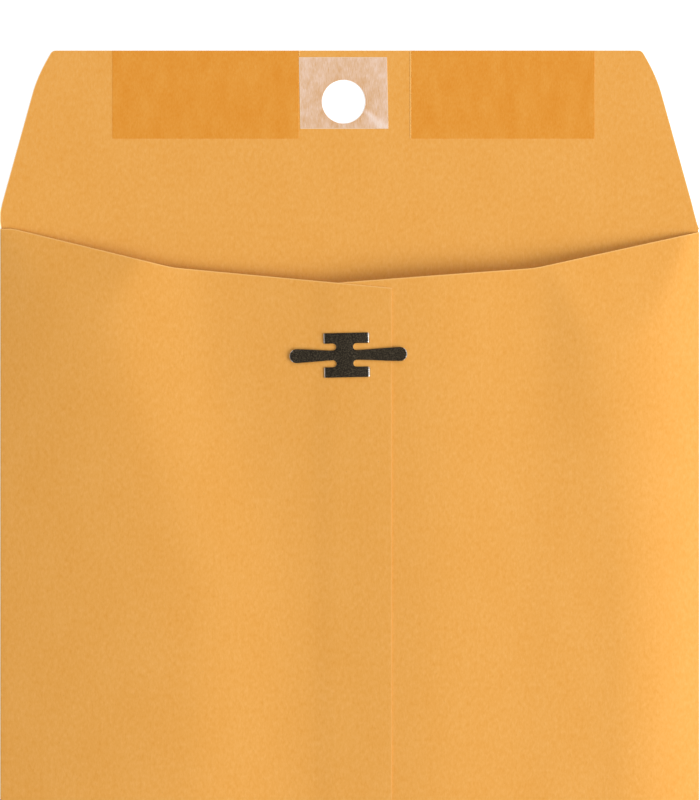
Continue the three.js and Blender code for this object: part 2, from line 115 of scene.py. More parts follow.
# Centre seam and bottom flap.
SEAM_EDGE_X = 13.8
SEAM_OVERLAP = 17.6
STEP_RUN = 9.0
STEP_LEAD = 0.6
SEAM_GLUE_WIDTH = 10.0
SEAM_GLUE_INSET = 1.4
BOTTOM_FLAP_HEIGHT = 30.0
BOTTOM_FLAP_INSET = 1.5
BOTTOM_FLAP_TAPER = 7.0
BOTTOM_GLUE_MARGIN = 4.0
BOTTOM_FOLD_ON_BLANK = 1.0  # the length left for the bottom fold on the uncut blank
BOTTOM_FOLD_TURN = 0.1  # and how far along it each radian of the fold lies

# Seal flap outline, as insets from the body's sides.
CUT_SHIFT = -0.87
HEEL_INSET = 1.34
HEEL_RISE = 7.7
SHOULDER_INSET = 11.46
SHOULDER_DROP = 14.0
SHOULDER_PULL = 0.42
CORNER_INSET = 17.8
CORNER_ROUND = 1.2
LEFT_HEEL_NOTCH = 0.35  # how far the left heel is cut in at the score line
LEFT_HEEL_SWELL = 0.5  # and how far its edge bows out above that
RIGHT_HEEL_BEND = 0.8  # below 1, the right heel's edge turns in sooner above the score line
CURVE_HALVINGS = 40  # tries at finding where a curve passes a height
FLAP_ROOT_DEPTH = 25.0  # the flap's sheet goes on this far below the score line, inside the pocket
FOLD_BEFORE = 0.3  # the bend at the score starts this far below it
FOLD_AFTER = 1.4  # and ends this far above it

# Hole, patch and gum.
HOLE_RADIUS = 7.14
HOLE_SEGMENTS = 128
PUNCH_DEPTH = 4.0
HOLE_X = -1.96
HOLE_FROM_TIP = 16.72
PATCH_THICKNESS = 0.05
PATCH_WIDTH = 28.8
PATCH_HEIGHT = 23.4
PATCH_RAISE = 2.85
PATCH_LEAN = 0.02  # how its sides lean, with the top and bottom edges level
CREASE_START_ANGLE = -22  # degrees round the hole from the right
CREASE_END_INSET = 1.2  # where it meets the patch's foot, in from the right
CREASE_NARROW = 0.55
CREASE_WIDE = 1.9
CREASE_LIFT = 0.06
CREASE_LEAD = 0.15  # it starts this share of its length before the hole's rim
CREASE_FADE = 0.25  # and fades in over this share
SOAK_REACH = 4.0  # how far from the hole's rim the soaked glue fades out
GUM_THICKNESS = 0.04
GUM_BEAD_WIDTH = 0.42
GUM_BEAD_HEIGHT = 0.075
GUM_BEAD_GAP = 0.05  # between the film's end and its bead
LEFT_BEAD_CLEARANCE = 0.3  # the left bead starts this far above the patch

# Clasp.
METAL = 0.3
CLASP_X = -1.0
CLASP_TURN = 0.021
CLASP_SEAT_GAP = 0.1
PLATE_WIDTH = 14.9
PLATE_HEIGHT = 14.5
ARM_HEIGHT = 3.4
WAIST_WIDTH = 5.56
WAIST_SHIFT = -0.56
PRONG_ROOT_WIDTH = 3.2
PRONG_TIP_WIDTH = 4.55
LEFT_PRONG_LENGTH = 14.15
RIGHT_PRONG_LENGTH = 16.45
BEND_GAP = 0.2
PRONG_EASE = 0.5  # how much of a prong's widening is eased, and not straight
TIP_GLINT_RIM = 0.18  # width of the bare tin edge round the right prong's tip, a painted highlight where it faces the light, and half as wide on the left one
TIP_GLINT_REACH = 0.45  # that edge starts this share of the tip's radius out from its centre
TIP_LEAST_HALF = 0.001  # keeps the last column of a tip from closing up
NOTCH_END = 2  # degrees by which each notch stops short of the prong's root
LEG_WIDTH = 2.8
LEG_CLINCH = 3.0
SLIT_CLEARANCE = 0.15
SLIT_DEPTH = 6 * PAPER
LEG_BEND_RADIUS = 0.3  # to the middle of the metal
METAL_BEVEL = 0.13
BEVEL_SEGMENTS = 2
BEVEL_ANGLE = 50  # degrees, past which an edge is bevelled
RIGHT_GLINT_TURN = 0.42  # an edge is bare tin, a painted highlight, where its face turns this far to the right
LEFT_GLINT_TURN = 0.45  # or this far to the left
GRIT_SIZE = 0.36
DIE_MARK_SIZE = 0.3

# How close the rows and columns of the sheets' grids lie. A share is of the piece's own width or length.
SIDE_FOLD_SEGMENTS = 8
BACK_COLUMN_STEP = 1.6
BACK_ROW_STEP = 3.2
MOUTH_ROW_SHARES = (0.2, 0.4, 0.6, 0.75, 0.87, 0.95)  # of the way up to the band of painted highlight at the mouth
BAND_APPROACH = 1.5  # that way ends this many bands' widths below the mouth's edge
FRONT_STEP = 8
FLAP_ROOT_STEP = 4
FLAP_FOLD_SEGMENTS = 12
FLAP_FOLD_GAP = 0.8
FLAP_SLANT_STEP = 3
FLAP_SHOULDER_STEP = 1
FLAP_CORNER_SEGMENTS = 8
FLAP_COLUMN_SHARE = 0.03
FLAP_BAND_SHARE = 0.0016  # the band of painted highlight along the flap's sides
BOTTOM_FOLD_SEGMENTS = 10
BOTTOM_FLAP_COLUMN_SHARE = 0.015
BOTTOM_FLAP_ROW_SHARE = 0.1
BOTTOM_PASTE_STEP = 4
GUM_STEP = 2.5
BEAD_STEP = 1.5
BEAD_SEGMENTS = 6
PATCH_BAND = 0.3  # the band of painted highlight round the patch
PATCH_STEP = 0.45
NOTCH_SEGMENTS = 14
LEG_BEND_SEGMENTS = 8
LEG_COLUMN_SHARE = 0.5
PRONG_NECK_STEP = 0.08
PRONG_NECK_COLUMNS = 9
PRONG_SHANK_STEP = 1.0
PRONG_TIP_SEGMENTS = 12
PRONG_OUTER_ROW = 0.93  # the last row inside a prong's edge, as a share of its half width
PRONG_ROW_SHARE = 0.31

# Levels and places taken from the CAD frame.
front_low, front_high = box_of("front_panel")
flap_low, flap_high = box_of("seal_flap")
half_width = box_of("right_back_panel")[1].x
fold_x = front_high.x
fold_radius = half_width - fold_x
back_level = 2 * fold_radius - PAPER
layer_step = PAPER + SEAM_GAP
score_y = (front_high.y + flap_low.y) / 2
tip_y = flap_high.y
bottom_fold_y = front_low.y
bottom_y = box_of("bottom_flap")[0].y
hidden_edge_x = SEAM_EDGE_X - SEAM_OVERLAP
bottom_flap_top = bottom_y + BOTTOM_FLAP_HEIGHT
rise_start_y = bottom_flap_top + FLAT_MARGIN
hole_y = tip_y - HOLE_FROM_TIP
clasp_y = 2 * score_y - hole_y


# Helpers for shapes

def rounded_min(a, b, rounding):
    near = max(rounding - abs(a - b), 0)
    return min(a, b) - near ** 2 / (4 * rounding)


def smooth(t):
    s = min(max(t, 0), 1)
    return s * s * (3 - 2 * s)


def mix(a, b, t):
    return a + (b - a) * t


def deselect_all():
    if bpy.context.mode != "OBJECT":
        bpy.ops.object.mode_set(mode="OBJECT")
    bpy.ops.object.select_all(action="DESELECT")


def make_active(obj):
    deselect_all()
    obj.select_set(True)
    bpy.context.view_layer.objects.active = obj


def named(obj, name):
    obj.name = name
    obj.data.name = name
    return obj


def apply_modifier(obj, kind, **settings):
    make_active(obj)
    modifier = obj.modifiers.new(kind.title(), kind)
    for key, value in settings.items():
        setattr(modifier, key, value)
    bpy.ops.object.modifier_apply(modifier=modifier.name)
    return obj


def thicken(obj, thickness):
    """Gives a sheet its thickness, half on each side of its middle surface."""
    return apply_modifier(
        obj, "SOLIDIFY", thickness=thickness * MM, offset=0, use_even_offset=True, use_quality_normals=True
    )


def smooth_shade(obj):
    make_active(obj)
    bpy.ops.object.shade_smooth_by_angle(angle=math.radians(SMOOTH_ANGLE))
    return obj


def join(target, others):
    deselect_all()
    for obj in [target, *others]:
        obj.select_set(True)
    bpy.context.view_layer.objects.active = target
    bpy.ops.object.join()
    return target


def formed_grid(name, across, along, place, flat, edge_highlit=None):
    """A grid primitive with one column for each entry of across and one row for each entry of along.
    place(a, b) is a point's place, flat(a, b) where it lies on the uncut blank, and the last function
    how much painted highlight the point in column i and row j gets along a cut edge."""
    deselect_all()
    columns = len(across) - 1
    rows = len(along) - 1
    bpy.ops.mesh.primitive_grid_add(x_subdivisions=columns, y_subdivisions=rows, size=1)
    obj = named(bpy.context.object, name)
    mesh = obj.data
    cells = [
        (round((v.co.x + 0.5) * columns), round((v.co.y + 0.5) * rows)) for v in mesh.vertices
    ]
    blank = mesh.uv_layers.active
    blank.name = "blank"
    for loop in mesh.loops:
        i, j = cells[loop.vertex_index]
        blank.data[loop.index].uv = flat(across[i], along[j])
    # Painted highlight: a paler band along cut edges that stands in for their lit thickness.
    edge_highlight = mesh.attributes.new("edge_highlight", "FLOAT", "POINT")
    for vertex, (i, j) in zip(mesh.vertices, cells):
        vertex.co = Vector(place(across[i], along[j])) * MM
        edge_highlight.data[vertex.index].value = edge_highlit(i, j) if edge_highlit else 0.0
    return obj


# The shape of the back

CREASES = [
    (LEFT_CREST_NEAR_MOUTH, LEFT_CREST_LOW),
    (LEFT_HOLLOW_NEAR_MOUTH, LEFT_HOLLOW_LOW),
    (MIDDLE_CREST_NEAR_MOUTH, MIDDLE_CREST_LOW),
    (RIGHT_HOLLOW_NEAR_MOUTH, RIGHT_HOLLOW_LOW),
    (RIGHT_CREST_NEAR_MOUTH, RIGHT_CREST_LOW),
]


def swell(x, y):
    """The back's height at full rise: up from each side fold to the outer crests, in waves between them."""
    low = smooth((UPPER_Y - y) / (UPPER_Y - LOWER_Y))
    knots = [[mix(a, b, low) for a, b in zip(*crease)] for crease in CREASES]
    left_x, left_height = knots[0]
    right_x, right_height = knots[-1]
    if x <= left_x:
        to_go = min((left_x - x) / (left_x + fold_x), 1)
        return left_height * (1 - to_go ** LEFT_SIDE_BEND)
    if x >= right_x:
        to_go = min((x - right_x) / (fold_x - right_x), 1)
        return right_height * (1 - to_go ** RIGHT_SIDE_BEND)
    for (x0, z0), (x1, z1) in zip(knots, knots[1:]):
        if x <= x1:
            return mix(z0, z1, smooth((x - x0) / (x1 - x0)))


def under_closed_flap(x, y):
    """How high the back may stand, so that the flap folds over the mouth without cutting into it."""
    mouth = left_mouth_y(x) if x < 0 else right_mouth_y(x)
    at_edge = CLOSED_FLAP_CLEARANCE + CLOSED_FLAP_SLOPE * (score_y - mouth)
    return at_edge + MOUTH_EASE * (mouth - y)


def crown(x, y):
    """How far the back stands above where it would lie if pressed flat."""
    rise = smooth((y - rise_start_y) / RISE_RUN)
    limited = rounded_min(swell(x, y), under_closed_flap(x, y), MOUTH_ROUNDING)
    return rise * max(limited, 0)


def lift_over_right(x):
    return layer_step * smooth((x - hidden_edge_x + STEP_RUN + STEP_LEAD) / STEP_RUN)


def lift_over_left(x):
    return layer_step * smooth((SEAM_EDGE_X + STEP_RUN + STEP_LEAD - x) / STEP_RUN)


def lift_over_both(x):
    return min(lift_over_right(x), lift_over_left(x))


def no_lift(x):
    return 0.0


def left_mouth_y(x):
    outer_slope = (LEFT_BEND_DEPTH - LEFT_MOUTH_DROP) / LEFT_BEND_IN
    outer = max(LEFT_MOUTH_DROP + outer_slope * (x + half_width), LEFT_LEAST_DEPTH)
    inner = LEFT_BEND_DEPTH + LEFT_INNER_SLOPE * (x + half_width - LEFT_BEND_IN)
    return score_y - rounded_min(outer, inner, MOUTH_ROUNDING)


def right_mouth_y(x):
    outer_slope = (RIGHT_BEND_DEPTH - RIGHT_MOUTH_DROP) / RIGHT_BEND_IN
    outer = RIGHT_MOUTH_DROP + outer_slope * (half_width - x)
    inner = RIGHT_BEND_DEPTH + RIGHT_INNER_SLOPE * (half_width - x - RIGHT_BEND_IN)
    return score_y - rounded_min(outer, inner, MOUTH_ROUNDING)


mouth_base_y = min(left_mouth_y(SEAM_EDGE_X), right_mouth_y(hidden_edge_x)) - MOUTH_MARGIN


def steps(low, high, size):
    """Evenly spaced values from low to high, about size apart, with both ends."""
    count = max(1, round(abs(high - low) / size))
    return [low + (high - low) * i / count for i in range(count + 1)]


# Materials

def linear(colour):
    """A hex sRGB colour as linear RGBA."""
    channels = [int(colour[i:i + 2], 16) / 255 for i in (1, 3, 5)]
    return [c / 12.92 if c <= 0.04045 else ((c + 0.055) / 1.055) ** 2.4 for c in channels] + [1.0]


def add_node(tree, kind, inputs=None, stops=(), **settings):
    """Adds a node. inputs gives each socket, by name or place, a value or another node's output,
    and stops gives a colour ramp its stops as (place, hex colour)."""
    node = tree.nodes.new(kind)
    for key, value in settings.items():
        setattr(node, key, value)
    for key, value in (inputs or {}).items():
        if isinstance(value, bpy.types.NodeSocket):
            tree.links.new(value, node.inputs[key])
        else:
            node.inputs[key].default_value = value
    if stops:
        elements = node.color_ramp.elements
        while len(elements) < len(stops):
            elements.new(0.5)
        for element, (place, colour) in zip(elements, stops):
            element.position = place
            element.color = linear(colour)
    return node


def new_material(name):
    """A material with a Principled shader, as (material, its tree, the shader)."""
    material = bpy.data.materials.new(name)
    material.use_nodes = True
    tree = material.node_tree
    return material, tree, tree.nodes["Principled BSDF"]


def streaks(tree, source, width, length, detail):
    """Noise drawn out along the blank's length: streaks of the given width and length in millimetres."""
    place = add_node(
        tree, "ShaderNodeMapping", {"Vector": source, "Scale": (1 / width, 1 / length, 1 / width)}
    )
    noise = add_node(
        tree,
        "ShaderNodeTexNoise",
        {"Vector": place.outputs["Vector"], "Scale": 1.0, "Detail": detail, "Roughness": 0.6},
    )
    return noise.outputs["Fac"]


def weighted(tree, parts):
    """The sum of values, each times its weight."""
    total = None
    for value, weight in parts:
        scaled = add_node(tree, "ShaderNodeMath", {0: value, 1: weight}, operation="MULTIPLY")
        if total is None:
            total = scaled.outputs[0]
        else:
            total = add_node(tree, "ShaderNodeMath", {0: total, 1: scaled.outputs[0]}).outputs[0]
    return total


def kraft_paper():
    # Machine-glazed brown kraft: dry and nearly matt with a faint sheen, short fibres lying along
    # the machine direction and a cloudy formation. A paler band along a cut edge is a painted highlight
    # that stands in for the lit cut edge. Single fibres are too fine to show, so they are drawn about
    # as wide as a pixel of the photograph.
    material, tree, shader = new_material("machine_glazed_kraft")
    blank = add_node(tree, "ShaderNodeUVMap", uv_map="blank").outputs["UV"]
    fibres = streaks(tree, blank, width=0.45, length=1.3, detail=4)
    mottle = streaks(tree, blank, width=1.2, length=2.2, detail=3)
    clouds = streaks(tree, blank, width=14, length=26, detail=2)
    tone = weighted(tree, [(fibres, 0.45), (mottle, 0.4), (clouds, 0.15)])
    body = add_node(
        tree,
        "ShaderNodeValToRGB",
        {"Fac": tone},
        stops=[(0.33, "#EBA141"), (0.5, "#F0AB51"), (0.67, "#F5B560")],
    ).outputs["Color"]
    shives = streaks(tree, blank, width=0.3, length=0.9, detail=1)
    dark = add_node(
        tree, "ShaderNodeMapRange", {"Value": shives, "From Min": 0.71, "From Max": 0.8, "To Max": 0.35}
    ).outputs["Result"]
    flecked = add_node(
        tree,
        "ShaderNodeMix",
        {"Factor": dark, 6: body, 7: linear("#B87A35")},
        data_type="RGBA",
    ).outputs[2]
    # Painted highlight: paler towards a cut edge, as if the edge caught the light.
    edge_highlight = add_node(tree, "ShaderNodeAttribute", attribute_name="edge_highlight").outputs["Fac"]
    highlighted = add_node(
        tree,
        "ShaderNodeMix",
        {"Factor": edge_highlight, 6: flecked, 7: linear("#FFC878")},
        data_type="RGBA",
    ).outputs[2]
    relief = weighted(tree, [(fibres, 0.7), (mottle, 0.3)])
    bump = add_node(tree, "ShaderNodeBump", {"Height": relief, "Strength": 0.25, "Distance": 0.12 * MM})
    tree.links.new(highlighted, shader.inputs["Base Color"])
    tree.links.new(bump.outputs["Normal"], shader.inputs["Normal"])
    shader.inputs["Roughness"].default_value = 0.68
    shader.inputs["Specular IOR Level"].default_value = 0.2
    return material


def seal_gum():
    # Dried dextrin gum, roller coated: a clear brown film that deepens the kraft and gives it a low gloss,
    # with the paper's fibres showing through and broad marks of the roller.
    material, tree, shader = new_material("dried_dextrin_gum")
    blank = add_node(tree, "ShaderNodeUVMap", uv_map="blank").outputs["UV"]
    fibres = streaks(tree, blank, width=0.45, length=1.3, detail=4)
    drag = streaks(tree, blank, width=5, length=12, detail=2)
    tone = weighted(tree, [(fibres, 0.6), (drag, 0.4)])
    film = add_node(
        tree,
        "ShaderNodeValToRGB",
        {"Fac": tone},
        stops=[(0.33, "#E48F28"), (0.5, "#E99A37"), (0.67, "#EEA546")],
    ).outputs["Color"]
    # The bead along the gum's inner end is painted paler: a painted highlight on the raised bead.
    edge_highlight = add_node(tree, "ShaderNodeAttribute", attribute_name="edge_highlight").outputs["Fac"]
    bead_highlighted = add_node(
        tree,
        "ShaderNodeMix",
        {"Factor": edge_highlight, 6: film, 7: linear("#F4B866")},
        data_type="RGBA",
    ).outputs[2]
    bump = add_node(tree, "ShaderNodeBump", {"Height": tone, "Strength": 0.2, "Distance": 0.1 * MM})
    tree.links.new(bead_highlighted, shader.inputs["Base Color"])
    tree.links.new(bump.outputs["Normal"], shader.inputs["Normal"])
    shader.inputs["Roughness"].default_value = 0.5
    shader.inputs["Specular IOR Level"].default_value = 0.15
    return material


def patch_tissue():
    # Long-fibred reinforcing tissue, glued down: pinkish white fibres over the kraft that shows through,
    # warmer where the glue has soaked it near the hole, and whiter where it has lifted. Its fibres are
    # drawn coarser than they are, so that they show.
    material, tree, shader = new_material("glued_fibre_tissue")
    blank = add_node(tree, "ShaderNodeUVMap", uv_map="blank").outputs["UV"]
    fibres = streaks(tree, blank, width=0.22, length=2.0, detail=3)
    soak = streaks(tree, blank, width=2.6, length=5.0, detail=3)
    soaked = add_node(tree, "ShaderNodeAttribute", attribute_name="soaked").outputs["Fac"]
    lifted = add_node(tree, "ShaderNodeAttribute", attribute_name="lifted").outputs["Fac"]
    tone = weighted(tree, [(fibres, 0.58), (soak, 0.42), (soaked, -0.11), (lifted, 0.2)])
    tissue = add_node(
        tree,
        "ShaderNodeValToRGB",
        {"Fac": tone},
        stops=[(0.3, "#DEAC7B"), (0.45, "#E8BF9B"), (0.56, "#F1CEB5"), (0.78, "#FCE7D9")],
    ).outputs["Color"]
    # A paler band painted round the patch's edge: a painted highlight of its lit edge.
    edge_highlight = add_node(tree, "ShaderNodeAttribute", attribute_name="edge_highlight").outputs["Fac"]
    highlighted = add_node(
        tree,
        "ShaderNodeMix",
        {"Factor": edge_highlight, 6: tissue, 7: linear("#F3D9BC")},
        data_type="RGBA",
    ).outputs[2]
    bump = add_node(tree, "ShaderNodeBump", {"Height": fibres, "Strength": 0.3, "Distance": 0.1 * MM})
    tree.links.new(highlighted, shader.inputs["Base Color"])
    tree.links.new(bump.outputs["Normal"], shader.inputs["Normal"])
    shader.inputs["Roughness"].default_value = 0.6
    shader.inputs["Specular IOR Level"].default_value = 0.15
    return material


def paste():
    # Dried starch paste: a dull, cloudy, off-white film.
    material, tree, shader = new_material("dried_starch_paste")
    blank = add_node(tree, "ShaderNodeUVMap", uv_map="blank").outputs["UV"]
    cloudy = streaks(tree, blank, width=2.0, length=5.0, detail=3)
    film = add_node(
        tree,
        "ShaderNodeValToRGB",
        {"Fac": cloudy},
        stops=[(0.35, "#D9C79B"), (0.65, "#EFE4C6")],
    ).outputs["Color"]
    tree.links.new(film, shader.inputs["Base Color"])
    shader.inputs["Roughness"].default_value = 0.6
    return material


def clasp_paint():
    # Thin stoved black lacquer on tinplate: warm charcoal, with a fine sandy speckle of grit and dust,
    # which is drawn about as coarse as a pixel of the photograph, so that it shows.
    material, tree, shader = new_material("stoved_charcoal_lacquer")
    place = add_node(tree, "ShaderNodeTexCoord").outputs["Object"]
    grit = add_node(
        tree,
        "ShaderNodeTexNoise",
        {"Vector": place, "Scale": 1 / (GRIT_SIZE * MM), "Detail": 1.5, "Roughness": 0.6},
    ).outputs["Fac"]
    lacquer = add_node(
        tree,
        "ShaderNodeValToRGB",
        {"Fac": grit},
        stops=[(0.36, "#211C14"), (0.5, "#2D261C"), (0.64, "#4D4537")],
    ).outputs["Color"]
    bump = add_node(tree, "ShaderNodeBump", {"Height": grit, "Strength": 0.25, "Distance": 0.04 * MM})
    tree.links.new(lacquer, shader.inputs["Base Color"])
    tree.links.new(bump.outputs["Normal"], shader.inputs["Normal"])
    shader.inputs["Roughness"].default_value = 0.65
    shader.inputs["Specular IOR Level"].default_value = 0.1
    return material


def bare_steel():
    # Tinned steel where the lacquer is sheared or cracked off: bright, with marks from the die, which are
    # drawn coarser than they are. It is put only on faces turned to the side, where the lights catch them,
    # so where it lies is a painted highlight.
    material, tree, shader = new_material("sheared_tinplate")
    place = add_node(tree, "ShaderNodeTexCoord").outputs["Object"]
    marks = add_node(
        tree, "ShaderNodeTexNoise", {"Vector": place, "Scale": 1 / (DIE_MARK_SIZE * MM), "Detail": 2.0}
    ).outputs["Fac"]
    tin = add_node(
        tree,
        "ShaderNodeValToRGB",
        {"Fac": marks},
        stops=[(0.35, "#C9C6C0"), (0.65, "#E9E7E3")],
    ).outputs["Color"]
    tree.links.new(tin, shader.inputs["Base Color"])
    shader.inputs["Metallic"].default_value = 1.0
    shader.inputs["Roughness"].default_value = 0.32
    return material


KRAFT = kraft_paper()
GUM = seal_gum()
TISSUE = patch_tissue()
PASTE = paste()
LACQUER = clasp_paint()
TIN = bare_steel()


def finish_piece(obj, material, slot, *nodes):
    """Shades a piece, gives it its material unless it has its own, and hides the CAD nodes that it
    stands for. Its slot is not used."""
    smooth_shade(obj)
    if not obj.data.materials:
        obj.data.materials.append(material)
    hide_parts(*nodes)
    return obj


# Paper pieces

def fold_columns(side):
    """Columns round a side fold, from underneath to on top, each as (x, height, share of the crown)."""
    radius = fold_radius - PAPER / 2
    turns = [math.pi * i / SIDE_FOLD_SEGMENTS for i in range(SIDE_FOLD_SEGMENTS + 1)]
    return [
        (side * (fold_x + radius * math.sin(t)), fold_radius - radius * math.cos(t), 0.0) for t in turns
    ]


def back_sheet(name, side, free_edge_x, lift, mouth_y):
    """A back panel with its side fold. side is -1 for the left panel and 1 for the right one."""
    band_x = free_edge_x + side * HIGHLIGHT_BAND
    inner = steps(side * fold_x, band_x, BACK_COLUMN_STEP)[1:] + [free_edge_x]
    across = fold_columns(side) + [(x, back_level + PAPER / 2, 1.0) for x in inner]
    fixed = steps(bottom_fold_y + SEAM_GAP, mouth_base_y, BACK_ROW_STEP)
    along = [(y, None) for y in fixed] + [(None, share) for share in MOUTH_ROW_SHARES]
    along += [(None, "band"), (None, "edge")]
    last = len(along) - 1

    def row_y(x, row):
        y, share = row
        if y is not None:
            return y
        top = mouth_y(x)
        if share == "edge":
            return top
        if share == "band":
            return top - HIGHLIGHT_BAND
        return mix(mouth_base_y, top - BAND_APPROACH * HIGHLIGHT_BAND, share)

    def place(column, row):
        x, height, share = column
        y = row_y(x, row)
        return x, y, height + share * (crown(x, y) + lift(x))

    def flat(column, row):
        return 2 * side * half_width - column[0], row_y(column[0], row)

    # Painted highlight: full along the mouth's cut edge, weaker along the free edge at the seam.
    def edge_highlit(i, j):
        at_mouth = j == last
        at_edge = i == len(across) - 1
        return 1.0 if at_mouth else FREE_EDGE_HIGHLIGHT * at_edge

    sheet = formed_grid(name, across, along, place, flat, edge_highlit)
    return thicken(sheet, PAPER)


def front_sheet():
    root_y = score_y - FLAP_ROOT_DEPTH
    across = steps(-fold_x, fold_x, FRONT_STEP)
    along = steps(bottom_fold_y, root_y, FRONT_STEP)
    sheet = formed_grid(
        "front_sheet", across, along, lambda x, y: (x, y, PAPER / 2), lambda x, y: (x, y)
    )
    return thicken(sheet, PAPER)


def flap_side():
    """A side of the seal flap, in points as (half width, y): the foot and top of its slanted part, the
    control point and end of its shoulder's curve, and the half width at the tip's corner."""
    slope_top = (half_width - SHOULDER_INSET, tip_y - SHOULDER_DROP)
    slope_foot = (half_width - HEEL_INSET, score_y + HEEL_RISE)
    slope = (slope_foot[0] - slope_top[0]) / (slope_top[1] - slope_foot[1])
    pull = SHOULDER_PULL * SHOULDER_DROP
    corner = half_width - CORNER_INSET
    control = (slope_top[0] - slope * pull, slope_top[1] + pull)
    end = (corner + CORNER_ROUND / 2, tip_y - CORNER_ROUND)
    return slope_foot, slope_top, control, end, corner


def curve_x(start, control, end, y):
    """Where a quadratic curve that climbs steadily passes y."""
    low, high = 0.0, 1.0
    for _ in range(CURVE_HALVINGS):
        t = (low + high) / 2
        height = (1 - t) ** 2 * start[1] + 2 * t * (1 - t) * control[1] + t * t * end[1]
        if height < y:
            low = t
        else:
            high = t
    return (1 - t) ** 2 * start[0] + 2 * t * (1 - t) * control[0] + t * t * end[0]


def flap_edge_x(side, y):
    """The x of the seal flap's side edge at y, for the left (-1) or the right (1) side."""
    foot, shoulder, control, end, corner = flap_side()
    if y <= score_y - FOLD_BEFORE:
        return side * fold_x
    if y <= foot[1]:
        up = min(max((y - score_y) / HEEL_RISE, 0), 1)
        heel = half_width - LEFT_HEEL_NOTCH if side < 0 else half_width
        shifted = foot[0] + side * CUT_SHIFT
        if side < 0:
            return side * (mix(heel, shifted, up) + LEFT_HEEL_SWELL * math.sin(up * math.pi))
        return side * mix(heel, shifted, up ** RIGHT_HEEL_BEND)
    if y <= shoulder[1]:
        t = (y - foot[1]) / (shoulder[1] - foot[1])
        reach = mix(foot[0], shoulder[0], t)
    elif y <= end[1]:
        reach = curve_x(shoulder, control, end, y)
    else:
        reach = curve_x(end, (corner, tip_y), (corner - CORNER_ROUND, tip_y), y)
    return CUT_SHIFT + side * reach


def flap_sheet():
    root_y = score_y - FLAP_ROOT_DEPTH
    fold_run = FOLD_AFTER + FOLD_BEFORE
    fold = [
        score_y - FOLD_BEFORE + fold_run * i / FLAP_FOLD_SEGMENTS for i in range(FLAP_FOLD_SEGMENTS + 1)
    ]
    slanted = steps(fold[-1] + FLAP_FOLD_GAP, tip_y - SHOULDER_DROP, FLAP_SLANT_STEP)
    shoulder = steps(slanted[-1], tip_y - CORNER_ROUND, FLAP_SHOULDER_STEP)[1:]
    turns = [math.pi / 2 * i / FLAP_CORNER_SEGMENTS for i in range(1, FLAP_CORNER_SEGMENTS + 1)]
    corner = [tip_y - CORNER_ROUND * (1 - math.sin(t)) for t in turns]
    along = steps(root_y, fold[0], FLAP_ROOT_STEP)[:-1] + fold + slanted + shoulder + corner
    band = FLAP_BAND_SHARE
    across = [0.0, band] + steps(band, 1 - band, FLAP_COLUMN_SHARE)[1:-1] + [1 - band, 1.0]

    def x_at(share, y):
        return mix(flap_edge_x(-1, y), flap_edge_x(1, y), share)

    # Painted highlight along the flap's cut sides and tip.
    def edge_highlit(i, j):
        y = along[j]
        if y < score_y:
            return 0.0
        return 1.0 if i in (0, len(across) - 1) or j == len(along) - 1 else 0.0

    sheet = formed_grid(
        "seal_flap_sheet",
        across,
        along,
        lambda share, y: (x_at(share, y), y, PAPER / 2),
        lambda share, y: (x_at(share, y), y),
        edge_highlit,
    )
    thicken(sheet, PAPER)
    return punch_hole(sheet)


def cut_away(obj, cutter):
    """Cuts the cutter's shape out of a piece."""
    apply_modifier(obj, "BOOLEAN", operation="DIFFERENCE", solver="EXACT", object=cutter)
    bpy.data.objects.remove(cutter)
    return obj


def punch_hole(obj):
    """Cuts the flap's round hole out of a sheet."""
    deselect_all()
    bpy.ops.mesh.primitive_cylinder_add(
        vertices=HOLE_SEGMENTS,
        radius=HOLE_RADIUS * MM,
        depth=PUNCH_DEPTH * MM,
        location=(HOLE_X * MM, hole_y * MM, 0),
    )
    return cut_away(obj, bpy.context.object)


def bottom_flap_sheet():
    fold_half = fold_x - BOTTOM_FLAP_INSET
    edge_half = fold_half - BOTTOM_FLAP_TAPER
    across = steps(-1, 1, BOTTOM_FLAP_COLUMN_SHARE)
    turns = [math.pi * i / BOTTOM_FOLD_SEGMENTS for i in range(BOTTOM_FOLD_SEGMENTS + 1)]
    along = [("fold", t) for t in turns]
    along += [("sheet", t) for t in steps(0, 1, BOTTOM_FLAP_ROW_SHARE)[1:]]

    def level(x):
        return back_level + PAPER + lift_over_both(x) + SEAM_GAP

    def place(share, row):
        kind, t = row
        if kind == "fold":
            x = share * fold_half
            centre = (level(x) + PAPER) / 2
            radius = centre - PAPER / 2
            return x, bottom_fold_y - radius * math.sin(t), centre - radius * math.cos(t)
        x = share * mix(fold_half, edge_half, t)
        return x, mix(bottom_fold_y, bottom_flap_top, t), level(x) + PAPER / 2

    def flat(share, row):
        kind, t = row
        if kind == "fold":
            return share * fold_half, bottom_y - t * BOTTOM_FOLD_TURN
        return share * fold_half, bottom_y - BOTTOM_FOLD_ON_BLANK - t * BOTTOM_FLAP_HEIGHT

    # Painted highlight along the bottom flap's cut edges.
    def edge_highlit(i, j):
        return 1.0 if j == len(along) - 1 or i in (0, len(across) - 1) else 0.0

    return thicken(formed_grid("bottom_flap_sheet", across, along, place, flat, edge_highlit), PAPER)


def paste_film(name, across, along, level):
    thickness = SEAM_GAP - 2 * GLUE_CLEARANCE
    film = formed_grid(
        name, across, along, lambda x, y: (x, y, level(x, y) + SEAM_GAP / 2), lambda x, y: (x, y)
    )
    return thicken(film, thickness)


def seam_paste():
    right = SEAM_EDGE_X - SEAM_GLUE_INSET
    return paste_film(
        "seam_paste",
        steps(right - SEAM_GLUE_WIDTH, right, BACK_COLUMN_STEP),
        steps(bottom_fold_y + BOTTOM_GLUE_MARGIN, mouth_base_y, BACK_ROW_STEP),
        lambda x, y: back_level + crown(x, y) + PAPER,
    )


